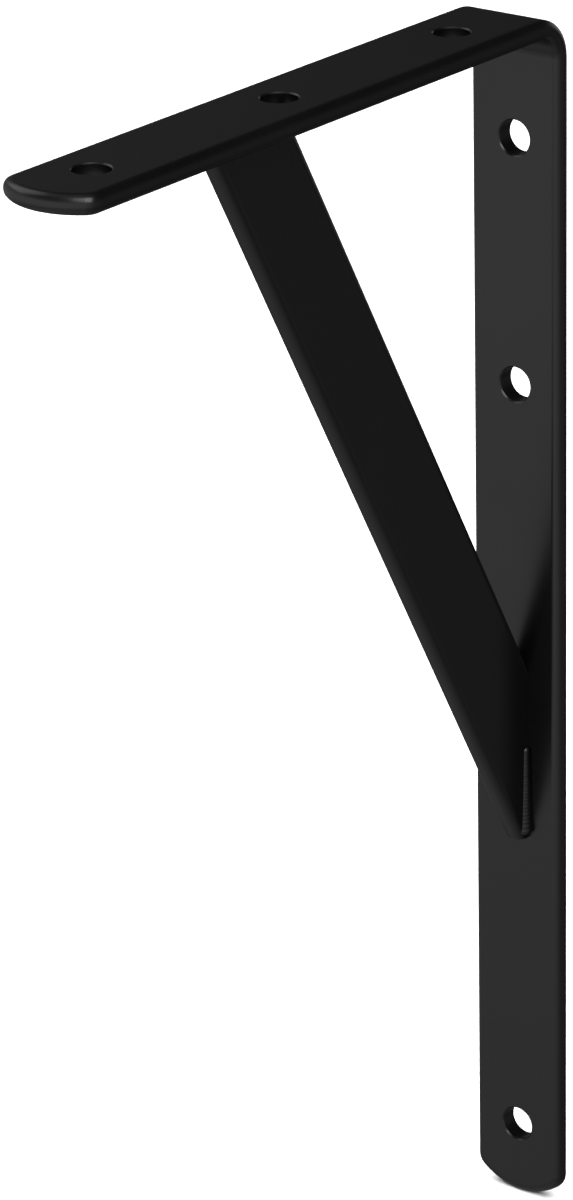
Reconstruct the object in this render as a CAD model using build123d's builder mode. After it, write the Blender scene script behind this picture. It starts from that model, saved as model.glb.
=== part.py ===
from build123d import *
import math
import os

# Reinforced shelf bracket in millimetres. The wall is the plane Y = 0, the shelf lies on the plane Z = 0,
# and X = 0 is mid width. The arm runs along -Y from the corner of the two planes, and the leg runs down.

# Flat bar, bent once to an angle
bar_width = 25.0
bar_thick = 4.75
arm_length = 173.0
leg_length = 304.0
bend_inner = 5.4
end_crown = 5.2
corner_round = 4.0
edge_round = 2.1
edge_round_share = 0.46

# Screw holes, measured from the wall plane along the arm and from the shelf plane down the leg
hole_diameter = 8.5
hole_chamfer = 0.3
hole_end_margin = 19.0
arm_first_hole = 28.5
leg_first_hole = 30.5
leg_second_hole = 90.5

# Flat strut, standing on edge a little off mid width, its outer edge given where its line meets the arm and
# the leg. The acute point at the foot is cut off square to the leg.
strut_width = 25.0
strut_thick = 5.2
strut_offset = 1.1
strut_reach = 119.8
strut_drop = 211.2
strut_nose = 3.0
strut_edge_round = 2.2

# Fillet welds on both sides of the strut's ends, each run starting just inside its outer edge
weld_leg = 1.6
weld_bulge = 0.25
weld_end_gap = 0.5
arm_weld_run = 18.0
foot_weld_run = 24.0

# Derived sizes
edge_radius = min(edge_round, edge_round_share * bar_thick)
end_radius = (bar_width**2 / 4 + end_crown**2) / (2 * end_crown)
strut_angle = math.atan2(strut_reach - bar_thick, strut_drop - bar_thick)
strut_inner_reach = strut_reach - strut_width / math.cos(strut_angle)
strut_inner_drop = strut_drop - strut_width / math.sin(strut_angle)
arm_last_hole = arm_length - hole_end_margin
arm_holes = (arm_first_hole, (arm_first_hole + arm_last_hole) / 2, arm_last_hole)
leg_holes = (leg_first_hole, leg_second_hole, leg_length - hole_end_margin)
strut_nose_drop = strut_drop - strut_nose / math.tan(strut_angle)
strut_radius = min(strut_edge_round, edge_round_share * strut_thick)
arm_weld_middle = strut_reach - strut_radius / math.cos(strut_angle) - weld_end_gap - arm_weld_run / 2
foot_weld_middle = strut_nose_drop - weld_end_gap - foot_weld_run / 2
weld_crest = weld_leg / 2 + weld_bulge / math.sqrt(2)

os.makedirs("parts", exist_ok=True)

# Angle bar: the side profile with its bend, given width, crowned ends, rolled edges and holes
with BuildPart() as angle_bar:
    with BuildSketch(Plane.YZ) as side:
        with BuildLine():
            Polyline(
                (0, 0),
                (-arm_length, 0),
                (-arm_length, -bar_thick),
                (-bar_thick, -bar_thick),
                (-bar_thick, -leg_length),
                (0, -leg_length),
                close=True,
            )
        make_face()
        fillet(side.vertices().sort_by_distance((-bar_thick, -bar_thick))[0], bend_inner)
        fillet(side.vertices().sort_by_distance((0, 0))[0], bend_inner + bar_thick)
    extrude(amount=bar_width / 2, both=True)

    for face_plane, length in ((Plane.XY, arm_length), (Plane.XZ, leg_length)):
        with BuildSketch(face_plane):
            with Locations((0, -length)):
                Rectangle(bar_width, 2 * end_crown)
            with Locations((0, end_radius - length)):
                Circle(end_radius, mode=Mode.SUBTRACT)
        extrude(amount=bar_thick, both=True, mode=Mode.SUBTRACT)

    arm_corners = angle_bar.edges().filter_by(Axis.Z).group_by(Axis.Y)[0]
    leg_corners = angle_bar.edges().filter_by(Axis.Y).group_by(Axis.Z)[0]
    fillet(arm_corners + leg_corners, corner_round)

    curved_outline = angle_bar.edges().filter_by(GeomType.CIRCLE)
    long_outline = (
        angle_bar.edges()
        .filter_by(GeomType.LINE)
        .filter_by(Axis.X, reverse=True)
        .filter_by(lambda edge: edge.length > 2 * bar_thick)
    )
    fillet(curved_outline + long_outline, edge_radius)

    with Locations(*[(0, -reach, 0) for reach in arm_holes]):
        Hole(hole_diameter / 2)
    with Locations(*[Plane((0, 0, -drop), z_dir=(0, 1, 0)) for drop in leg_holes]):
        Hole(hole_diameter / 2)
    hole_rims = angle_bar.edges().filter_by(GeomType.CIRCLE).filter_by(
        lambda edge: math.isclose(edge.radius, hole_diameter / 2)
    )
    chamfer(hole_rims, hole_chamfer)
angle_bar.part.label = "angle_bar"
export_step(angle_bar.part, "parts/angle_bar.step")

# Strut: a flat bar whose two ends are cut to lie flat on the arm's underside and on the leg's front
strut_plane = Plane.YZ.offset(strut_offset)
with BuildPart() as strut:
    with BuildSketch(strut_plane):
        with BuildLine():
            Polyline(
                (-strut_reach, -bar_thick),
                (-strut_inner_reach, -bar_thick),
                (-bar_thick, -strut_inner_drop),
                (-bar_thick, -strut_nose_drop),
                (-bar_thick - strut_nose, -strut_nose_drop),
                close=True,
            )
        make_face()
    extrude(amount=strut_thick / 2, both=True)
    strut_line = Axis((0, 0, 0), (0, math.sin(strut_angle), -math.cos(strut_angle)))
    fillet(strut.edges().filter_by(strut_line), strut_radius)
strut.part.label = "strut"
export_step(strut.part, "parts/strut.step")

# Weld beads: a slightly full fillet section in the corner beside the strut, rounded off at both ends
strut_right = strut_offset + strut_thick / 2
arm_weld_corner = Plane((strut_right, -arm_weld_middle, -bar_thick), x_dir=(1, 0, 0), z_dir=(0, 1, 0))
foot_weld_corner = Plane((strut_right, -bar_thick, -foot_weld_middle), x_dir=(1, 0, 0), z_dir=(0, 0, -1))

for joint_name, corner, run in (
    ("arm_weld", arm_weld_corner, arm_weld_run),
    ("foot_weld", foot_weld_corner, foot_weld_run),
):
    with BuildPart() as right_bead:
        with BuildSketch(corner):
            with BuildLine():
                Line((0, 0), (weld_leg, 0))
                ThreePointArc((weld_leg, 0), (weld_crest, weld_crest), (0, weld_leg))
                Line((0, weld_leg), (0, 0))
            make_face()
        extrude(amount=run / 2, both=True)
        with BuildSketch(Plane(corner.origin, x_dir=corner.z_dir, z_dir=corner.x_dir + corner.y_dir)):
            SlotOverall(run, 2 * weld_leg)
        extrude(amount=2 * weld_leg, both=True, mode=Mode.INTERSECT)
    right_bead.part.label = f"{joint_name}_right"
    export_step(right_bead.part, f"parts/{joint_name}_right.step")

    with BuildPart() as left_bead:
        mirror(right_bead.part, about=strut_plane)
    left_bead.part.label = f"{joint_name}_left"
    export_step(left_bead.part, f"parts/{joint_name}_left.step")
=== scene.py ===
# %% [markdown]
# # A black shelf bracket on a pale floor
# The bracket is a flat bar bent to a right angle, with a second flat bar welded across the corner as a strut.
# Its solids were drawn in CAD, so they come in ready made. We give them a finish, and model again only what a
# CAD solid leaves too smooth: the weld beads. Everything is in metres, and +Z is up.

# %% Load the solids
import math
import random

import bpy
from mathutils import Euler, Matrix, Vector


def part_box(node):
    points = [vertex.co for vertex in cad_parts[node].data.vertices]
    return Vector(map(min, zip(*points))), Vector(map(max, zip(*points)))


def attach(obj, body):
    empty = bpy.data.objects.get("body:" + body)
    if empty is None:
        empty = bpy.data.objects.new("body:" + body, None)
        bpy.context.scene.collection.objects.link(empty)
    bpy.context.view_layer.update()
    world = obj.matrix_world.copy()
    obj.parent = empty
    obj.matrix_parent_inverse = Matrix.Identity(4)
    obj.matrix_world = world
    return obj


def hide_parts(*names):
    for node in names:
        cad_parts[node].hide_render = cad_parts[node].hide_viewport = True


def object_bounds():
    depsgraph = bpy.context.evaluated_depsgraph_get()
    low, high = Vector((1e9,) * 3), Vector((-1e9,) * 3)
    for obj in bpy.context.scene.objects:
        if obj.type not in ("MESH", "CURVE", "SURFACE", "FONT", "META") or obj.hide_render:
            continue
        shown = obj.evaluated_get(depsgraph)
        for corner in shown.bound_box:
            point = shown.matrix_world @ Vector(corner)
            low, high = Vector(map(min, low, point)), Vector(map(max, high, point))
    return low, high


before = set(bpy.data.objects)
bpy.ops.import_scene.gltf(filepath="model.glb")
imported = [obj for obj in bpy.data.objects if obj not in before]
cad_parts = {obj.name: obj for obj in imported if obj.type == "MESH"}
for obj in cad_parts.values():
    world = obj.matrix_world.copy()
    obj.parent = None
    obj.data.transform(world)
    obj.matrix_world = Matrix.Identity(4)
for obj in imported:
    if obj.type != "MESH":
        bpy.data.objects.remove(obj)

cad_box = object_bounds()
MM = 0.001
for node_name in sorted(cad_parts):
    low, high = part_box(node_name)
    print(node_name, "measures", [round((b - a) / MM, 1) for a, b in zip(low, high)], "mm")

# %% [markdown]
# ## Helpers for finishes
# A colour picked on a screen is an sRGB hex value, while shaders count light in linear numbers, so one function
# turns the first into the second. The bare numbers in it are those of the sRGB curve. Another function adds a
# node, sets what it is given and links its inputs. With it a finish reads as a list of nodes, in the order in
# which one feeds the next.

# %% Colour and node helpers
def linear(hex_colour):
    shares = [int(hex_colour[i:i + 2], 16) / 255 for i in (1, 3, 5)]
    return [s / 12.92 if s <= 0.04045 else ((s + 0.055) / 1.055) ** 2.4 for s in shares] + [1.0]


def add_node(tree, kind, settings=None, inputs=None):
    node = tree.nodes.new(kind)
    for name, value in (settings or {}).items():
        setattr(node, name, value)
    for name, value in (inputs or {}).items():
        if isinstance(value, bpy.types.NodeSocket):
            tree.links.new(value, node.inputs[name])
        else:
            node.inputs[name].default_value = value
    return node


def new_tree(block):
    block.use_nodes = True
    block.node_tree.nodes.clear()
    return block.node_tree


COAT_DARK = "#020202"
COAT_PALE = "#040404"
for tone in (COAT_DARK, COAT_PALE):
    print("the coat's", tone, "in linear light", [round(c, 5) for c in linear(tone)])

# %% [markdown]
# ## The finish: satin black powder coat
# The bars are steel, and the coat is a polyester powder that was sprayed on dry and melted in an oven. It runs
# together into a skin about a tenth of a millimetre thick, black right through, with a satin gloss. Nearly all
# that we see of it is mirrored light, so the base colour is close to nothing and the roughness does the work. Two
# things show that it isn't plain paint: a soft orange peel, waves about two millimetres long, and a fine grain
# where the powder didn't level out. Both are heights, so they go into bump. The gloss changes a little from place
# to place, in clouds a few centimetres wide, which keeps wide faces from looking like plastic film. Object
# coordinates are metres here, so a noise scale is one over the size of its waves.

# %% Powder coat
def satin_black_powder_coat():
    material = bpy.data.materials.new("satin_black_powder_coat")
    tree = new_tree(material)
    place = add_node(tree, "ShaderNodeTexCoord").outputs["Object"]

    peel_wave = 2.2 * MM
    peel_height = 0.004 * MM
    grain_wave = 0.35 * MM
    grain_height = 0.0006 * MM
    cloud_wave = 28 * MM
    cloud_low, cloud_high = 0.3, 0.7
    glossiest, dullest = 0.27, 0.32
    polyester_ior = 1.5

    peel = add_node(tree, "ShaderNodeTexNoise", None,
                    {"Vector": place, "Scale": 1 / peel_wave, "Detail": 1.0, "Roughness": 0.4})
    grain = add_node(tree, "ShaderNodeTexNoise", None,
                     {"Vector": place, "Scale": 1 / grain_wave, "Detail": 2.0, "Roughness": 0.6})
    cloud = add_node(tree, "ShaderNodeTexNoise", None,
                     {"Vector": place, "Scale": 1 / cloud_wave, "Detail": 3.0, "Roughness": 0.55})

    tint = add_node(tree, "ShaderNodeValToRGB", None, {"Fac": cloud.outputs["Fac"]})
    tint.color_ramp.elements[0].color = linear(COAT_DARK)
    tint.color_ramp.elements[1].color = linear(COAT_PALE)
    gloss = add_node(tree, "ShaderNodeMapRange", None,
                     {"Value": cloud.outputs["Fac"], "From Min": cloud_low, "From Max": cloud_high,
                      "To Min": glossiest, "To Max": dullest})
    fine = add_node(tree, "ShaderNodeBump", None,
                    {"Height": grain.outputs["Fac"], "Strength": 1.0, "Distance": grain_height})
    waves = add_node(tree, "ShaderNodeBump", None,
                     {"Height": peel.outputs["Fac"], "Strength": 1.0, "Distance": peel_height,
                      "Normal": fine.outputs["Normal"]})
    coat = add_node(tree, "ShaderNodeBsdfPrincipled", None,
                    {"Base Color": tint.outputs["Color"], "Roughness": gloss.outputs["Result"],
                     "IOR": polyester_ior, "Normal": waves.outputs["Normal"]})
    add_node(tree, "ShaderNodeOutputMaterial", None, {"Surface": coat.outputs["BSDF"]})
    return material


powder_coat = satin_black_powder_coat()
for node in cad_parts.values():
    node.data.materials.clear()
    node.data.materials.append(powder_coat)
print("coated", len(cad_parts), "solids")

# %% [markdown]
# ## Weld beads: a row of pools
# The strut is held by four short runs of weld, one on each side of both ends. A welder lays such a run as a row
# of small pools: each sets before the next one lands on its rim, so the bead is scalloped like a fallen row of
# coins. We build it the same way. One flattened ball stands for one pool. A row of them overlaps along the corner,
# all leaning one way and each a little off in size. The photograph shows the bead as a bright line a little way
# out from the leg, with a dark crease beside it, so the pools sit higher on the strut than on the bar. A run may
# start full and get thinner, as the welder pulls away, so a row has a first size and a last one, both as shares
# of the pool radius.

# %% Pools
POOL_RADIUS = 1.7 * MM
POOL_SINK = 0.6 * MM
POOL_RISE = 0.9 * MM
POOL_PITCH = 0.95 * MM
POOL_FLATNESS = 0.75
POOL_LEAN = math.radians(35)
POOL_JITTER = 0.04
POOL_SEGMENTS = 24
POOL_RINGS = 12
TAPER_POWER = 1.5


def row_of_pools(name, start, end, away_from_strut, away_from_bar, first_size, last_size, seed):
    chance = random.Random(seed)
    along = (end - start).normalized()
    flat = Vector((1, 1, 1)) - Vector([abs(c) for c in along]) * (1 - POOL_FLATNESS)
    lean = Matrix.Rotation(POOL_LEAN, 3, along.cross(away_from_strut + away_from_bar)).to_euler()
    step = POOL_RADIUS * first_size
    last_step = (end - start).length - POOL_RADIUS * last_size
    pools = 0

    bpy.ops.object.select_all(action="DESELECT")
    bpy.ops.object.add(type="MESH")
    bead = bpy.context.object
    bead.name = name
    bpy.ops.object.mode_set(mode="EDIT")
    while step < last_step:
        left_over = 1 - step / last_step
        size = last_size + (first_size - last_size) * left_over**TAPER_POWER
        size *= chance.uniform(1 - POOL_JITTER, 1 + POOL_JITTER)
        middle = start + along * step - away_from_strut * POOL_SINK * size + away_from_bar * POOL_RISE
        bpy.ops.mesh.primitive_uv_sphere_add(
            segments=POOL_SEGMENTS, ring_count=POOL_RINGS, radius=POOL_RADIUS * size,
            location=middle, rotation=lean, scale=flat)
        step += POOL_PITCH * size
        pools += 1
    bpy.ops.object.mode_set(mode="OBJECT")
    print(name, "starts as", pools, "pools")
    return bead


# %% [markdown]
# ## Weld beads: melted and trimmed
# A voxel remesh melts the balls into one skin, a smooth takes off the sharp creases, and two cuts trim the skin
# where it goes into the strut and into the bar. The cuts lie over half a millimetre inside the steel, so that no
# gap shows at the strut's rounded edge. They need a tolerance far below the voxel size, or the skin closes badly
# along them.

# %% Melt and trim
BEAD_VOXEL = 0.12 * MM
BEAD_CUT = 0.6 * MM
CUT_TOLERANCE = 0.0001 * MM
SOFTEN_FACTOR = 0.5
SOFTEN_ROUNDS = 3
CREASE_ANGLE = math.radians(50)


def melt_and_trim(bead, corner, outward_sides):
    melt = bead.modifiers.new("melt", "REMESH")
    melt.mode = "VOXEL"
    melt.voxel_size = BEAD_VOXEL
    soften = bead.modifiers.new("soften", "SMOOTH")
    soften.factor = SOFTEN_FACTOR
    soften.iterations = SOFTEN_ROUNDS
    for modifier in ("melt", "soften"):
        bpy.ops.object.modifier_apply(modifier=modifier)

    bpy.ops.object.mode_set(mode="EDIT")
    for away in outward_sides:
        bpy.ops.mesh.select_all(action="SELECT")
        bpy.ops.mesh.bisect(plane_co=corner - away * BEAD_CUT, plane_no=away, use_fill=True, clear_inner=True,
                            threshold=CUT_TOLERANCE)
    bpy.ops.mesh.select_all(action="SELECT")
    bpy.ops.mesh.normals_make_consistent(inside=False)
    bpy.ops.object.mode_set(mode="OBJECT")
    bpy.ops.object.shade_smooth_by_angle(angle=CREASE_ANGLE)
    print(bead.name, "has", len(bead.data.polygons), "faces")


# %% [markdown]
# Each bead lies in a corner, and the box of its CAD solid gives that corner: the strut's face on one side, the
# bar's face behind or above. The runs on the leg go up along Z from the foot and taper. Those under the arm go
# along Y towards the wall and stay even.

# %% The four beads
FOOT_SIZES = (1.3, 0.65)
ARM_SIZES = (0.95, 0.9)
ARM_SEED = 10


def weld_bead(node_name, start, end, away_from_strut, away_from_bar, sizes, seed):
    bead = row_of_pools("rippled_" + node_name, start, end, away_from_strut, away_from_bar, *sizes, seed)
    melt_and_trim(bead, start, (away_from_strut, away_from_bar))
    bead.data.materials.append(powder_coat)
    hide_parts(node_name)
    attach(bead, "root")


for seed, side in enumerate(("right", "left")):
    away_from_strut = Vector((1, 0, 0)) if side == "right" else Vector((-1, 0, 0))
    low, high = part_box("foot_weld_" + side)
    face_x = low.x if side == "right" else high.x
    weld_bead("foot_weld_" + side, Vector((face_x, high.y, low.z)), Vector((face_x, high.y, high.z)),
              away_from_strut, Vector((0, -1, 0)), FOOT_SIZES, seed)
    low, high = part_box("arm_weld_" + side)
    weld_bead("arm_weld_" + side, Vector((face_x, low.y, high.z)), Vector((face_x, high.y, high.z)),
              away_from_strut, Vector((0, 0, -1)), ARM_SIZES, seed + ARM_SEED)

# %% [markdown]
# ## The stage: a pale floor
# The bracket stands on the rounded end of its leg, so the floor lies at the lowest point of the CAD box. It is
# a sheet of white paper, lit until it burns out, and past its edge the backdrop is just as white. The paper is
# kept out of the coat's reflections, because the room in the next cell already holds what the coat mirrors.

# %% Floor
FLOOR_SIZE = 4.0
PAPER_WHITE = "#f4f4f4"
floor_level = cad_box[0].z
bpy.ops.mesh.primitive_plane_add(size=FLOOR_SIZE, location=(0, 0, floor_level))
floor = bpy.context.object
floor.name = "floor"
floor.visible_glossy = False
floor.visible_diffuse = False
paper = bpy.data.materials.new("white_paper")
paper_tree = new_tree(paper)
paper_face = add_node(paper_tree, "ShaderNodeBsdfDiffuse", None, {"Color": linear(PAPER_WHITE)})
add_node(paper_tree, "ShaderNodeOutputMaterial", None, {"Surface": paper_face.outputs["BSDF"]})
floor.data.materials.append(paper)
print("floor at", round(floor_level, 4))

# %% [markdown]
# ## The room
# A satin black shows what stands around it more than the lamps on it, so the room is drawn first. One ramp runs
# along Y: bright in front, where the leg's face looks, and dim at the back, where the arm's top and the sides
# look. A second ramp runs along Z and takes light away where the photograph is darker than that: above the
# horizon, so that the arm's top stays darker than the leg, and in a band below it. The two are multiplied. Right
# behind and right overhead it is brighter again, so that the back and the top show their form in other views.
# Each stop is a place from -1 to 1 along its axis and the light there. The camera itself sees plain white: rays
# that come straight from it get a background of their own, a little over white so that no grey edge is left.

# %% World
DEPTH_STOPS = (
    (-1.0, 1.0), (-0.73, 0.80), (-0.45, 0.62), (-0.2, 0.45), (0.0, 0.34), (0.3, 0.27), (0.6, 0.25), (0.75, 0.133),
    (0.85, 0.03), (0.93, 0.03), (0.97, 0.7), (1.0, 0.9))
HEIGHT_STOPS = (
    (-1.0, 0.74), (-0.8, 0.74), (-0.62, 0.45), (-0.46, 0.6), (-0.36, 1.0), (0.1, 0.94), (0.27, 0.41), (0.5, 0.30),
    (0.8, 0.12), (0.9, 0.6), (1.0, 1.0))
ROOM_STRENGTH = 1.0
BACKDROP_STRENGTH = 1.2


def light_ramp(tree, value, stops):
    share = add_node(tree, "ShaderNodeMapRange", None,
                     {"Value": value, "From Min": -1.0, "From Max": 1.0, "To Min": 0.0, "To Max": 1.0})
    ramp = add_node(tree, "ShaderNodeValToRGB", None, {"Fac": share.outputs["Result"]})
    elements = ramp.color_ramp.elements
    while len(elements) < len(stops):
        elements.new(0.5)
    for element, (place, light) in zip(elements, stops):
        element.position = (place + 1) / 2
        element.color = (light, light, light, 1.0)
    return ramp.outputs["Color"]


world = bpy.data.worlds.new("studio")
bpy.context.scene.world = world
sky = new_tree(world)
direction = add_node(sky, "ShaderNodeTexCoord").outputs["Generated"]
axes = add_node(sky, "ShaderNodeSeparateXYZ", None, {"Vector": direction})
depth_light = light_ramp(sky, axes.outputs["Y"], DEPTH_STOPS)
height_light = light_ramp(sky, axes.outputs["Z"], HEIGHT_STOPS)
room = add_node(sky, "ShaderNodeVectorMath", {"operation": "MULTIPLY"}, {0: depth_light, 1: height_light})
room_light = add_node(sky, "ShaderNodeBackground", None,
                      {"Color": room.outputs["Vector"], "Strength": ROOM_STRENGTH})
backdrop = add_node(sky, "ShaderNodeBackground", None,
                    {"Color": linear("#ffffff"), "Strength": BACKDROP_STRENGTH})
seen = add_node(sky, "ShaderNodeLightPath").outputs["Is Camera Ray"]
choice = add_node(sky, "ShaderNodeMixShader", None,
                  {0: seen, 1: room_light.outputs["Background"], 2: backdrop.outputs["Background"]})
add_node(sky, "ShaderNodeOutputWorld", None, {"Surface": choice.outputs["Shader"]})
print("world has", len(sky.nodes), "nodes")

# %% [markdown]
# ## The lamps
# Two softboxes stand half-way up, one on the right in front and one on the left. Flat faces hardly mirror them,
# but the rounded tip does: that is where its two highlights come from. A wide lamp overhead only lights the floor
# evenly, so it is left out of the mirrored light.

# %% Softboxes and floor light
def area_lamp(name, towards, distance, size, radiance):
    lamp = bpy.data.lights.new(name, "AREA")
    lamp.shape = "SQUARE"
    lamp.size = size
    lamp.energy = radiance * math.pi * size**2
    lamp_object = bpy.data.objects.new(name, lamp)
    lamp_object.location = Vector(towards).normalized() * distance
    lamp_object.rotation_euler = Vector(towards).to_track_quat("Z", "Y").to_euler()
    lamp_object.visible_camera = False
    bpy.context.scene.collection.objects.link(lamp_object)
    return lamp_object


area_lamp("right_softbox", towards=(0.56, -0.5, 0.66), distance=1.4, size=1.1, radiance=4.0)
area_lamp("left_softbox", towards=(-0.78, -0.18, 0.6), distance=1.4, size=1.0, radiance=1.15)
floor_light = area_lamp("floor_light", towards=(0, 0, 1), distance=2.7, size=6.0, radiance=3.2)
floor_light.visible_glossy = False
bpy.context.scene.view_settings.view_transform = "Standard"
print("lamps", [light.name for light in bpy.data.lights])

# %% [markdown]
# ## The camera
# The place comes from fitting the bracket's edges to the photograph: from the right of the leg, looking down by
# about twenty degrees, through a long lens that keeps the leg's sides nearly parallel. The frame is upright, so
# the sensor's width goes with the long side.

# %% Camera
CAMERA_AZIMUTH = math.radians(38.34)
CAMERA_ELEVATION = math.radians(21.914)
CAMERA_ROLL = math.radians(1.243)
CAMERA_PLACE = Vector((643.02, -905.57, 301.14)) * MM
CAMERA_LENS = 150.29
SENSOR_WIDTH = 36.0
camera = bpy.data.cameras.new("camera")
camera.lens = CAMERA_LENS
camera.sensor_width = SENSOR_WIDTH
camera_object = bpy.data.objects.new("camera", camera)
aim = Euler((math.pi / 2 - CAMERA_ELEVATION, 0.0, CAMERA_AZIMUTH)).to_matrix()
camera_object.rotation_euler = (aim @ Matrix.Rotation(-CAMERA_ROLL, 3, "Z")).to_euler()
camera_object.location = CAMERA_PLACE
bpy.context.scene.collection.objects.link(camera_object)
bpy.context.scene.camera = camera_object
print("camera looks along", [round(c, 3) for c in aim @ Vector((0, 0, -1))])
